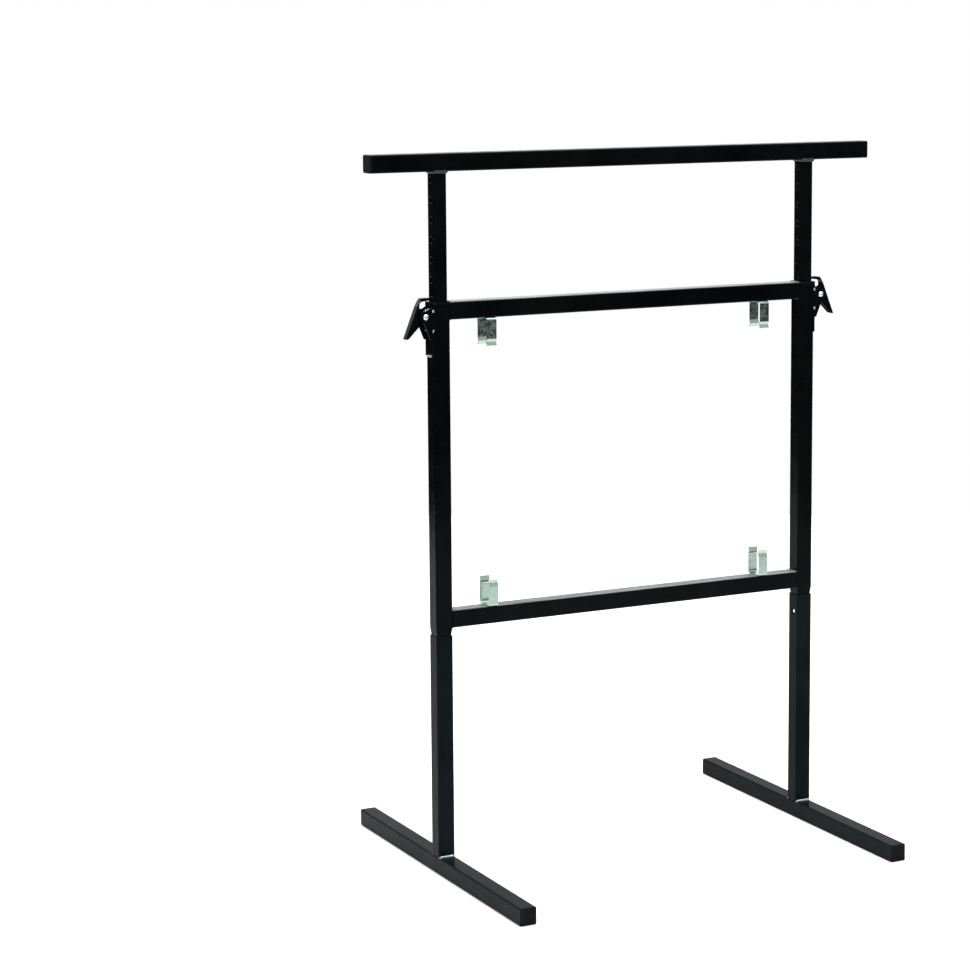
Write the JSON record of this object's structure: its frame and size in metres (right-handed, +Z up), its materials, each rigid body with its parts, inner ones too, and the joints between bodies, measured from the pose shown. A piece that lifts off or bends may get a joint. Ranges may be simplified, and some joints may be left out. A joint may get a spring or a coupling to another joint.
{
  "type": "folding sawhorse",
  "caption": "Height-adjustable steel tube sawhorse: a beam on telescoping masts with spring latches, and pull-off T-shaped legs that stow in clips on the frame.",
  "frame": {"origin": "on the floor, under the middle of the beam", "axes": "+X along the beam to the right, -Y towards the front, +Z up"},
  "size_m": [0.805, 0.535, 1.02],
  "materials": {
    "black_coat": "satin black powder coat on steel",
    "zinc_plate": "bright zinc-plated steel",
    "cap_plastic": "matt black moulded plastic"
  },
  "bodies": {
    "frame": {"upright_left": "black_coat", "upright_right": "black_coat", "upper_crossbar": "black_coat", "lower_crossbar": "black_coat", "latch_bracket_left": "black_coat", "latch_bracket_right": "black_coat", "latch_pin_left": "zinc_plate", "latch_pin_right": "zinc_plate", "latch_spring_left": "zinc_plate", "latch_spring_right": "zinc_plate", "storage_clip_upper_left": "zinc_plate", "storage_clip_upper_right": "zinc_plate", "storage_clip_lower_left": "zinc_plate", "storage_clip_lower_right": "zinc_plate", "clip_rivets": "zinc_plate", "button_spring_left": "zinc_plate", "button_spring_right": "zinc_plate"},
    "beam": {"top_beam": "black_coat", "beam_cap_left": "cap_plastic", "beam_cap_right": "cap_plastic", "mast_left": "black_coat", "mast_right": "black_coat"},
    "latch_left": {"latch_lever_left": "black_coat"},
    "leg_left": {"leg_tube_left": "black_coat", "foot_bar_left": "black_coat", "foot_cap_left_front": "cap_plastic", "foot_cap_left_rear": "cap_plastic"},
    "button_left": {"snap_button_left": "zinc_plate"},
    "latch_right": {"latch_lever_right": "black_coat"},
    "leg_right": {"leg_tube_right": "black_coat", "foot_bar_right": "black_coat", "foot_cap_right_front": "cap_plastic", "foot_cap_right_rear": "cap_plastic"},
    "button_right": {"snap_button_right": "zinc_plate"}
  },
  "joints": [
    {"name": "beam_height", "type": "slide", "parent": "frame", "child": "beam", "axis": [0, 0, 1], "range_m": [-0.165, 0.22]},
    {"name": "latch_left_swing", "type": "hinge", "parent": "frame", "child": "latch_left", "pos_m": [-0.3218, 0, 0.7957], "axis": [0, -1, 0], "range_deg": [-5, 20], "stiffness_Nm_per_rad": 0.3, "springref_deg": -20.05},
    {"name": "latch_right_swing", "type": "hinge", "parent": "frame", "child": "latch_right", "pos_m": [0.3218, 0, 0.7957], "axis": [0, 1, 0], "range_deg": [-5, 20], "stiffness_Nm_per_rad": 0.3, "springref_deg": -20.05},
    {"name": "leg_left_pull", "type": "slide", "parent": "frame", "child": "leg_left", "axis": [0, 0, -1], "range_m": [0, 0.065]},
    {"name": "leg_right_pull", "type": "slide", "parent": "frame", "child": "leg_right", "axis": [0, 0, -1], "range_m": [0, 0.065]},
    {"name": "button_left_release", "type": "slide", "parent": "frame", "child": "button_left", "axis": [1, 0, 0], "range_m": [0, 0.0044], "stiffness_N_per_m": 500, "springref_m": 0.008},
    {"name": "button_right_release", "type": "slide", "parent": "frame", "child": "button_right", "axis": [-1, 0, 0], "range_m": [0, 0.0044], "stiffness_N_per_m": 500, "springref_m": 0.008}
  ]
}
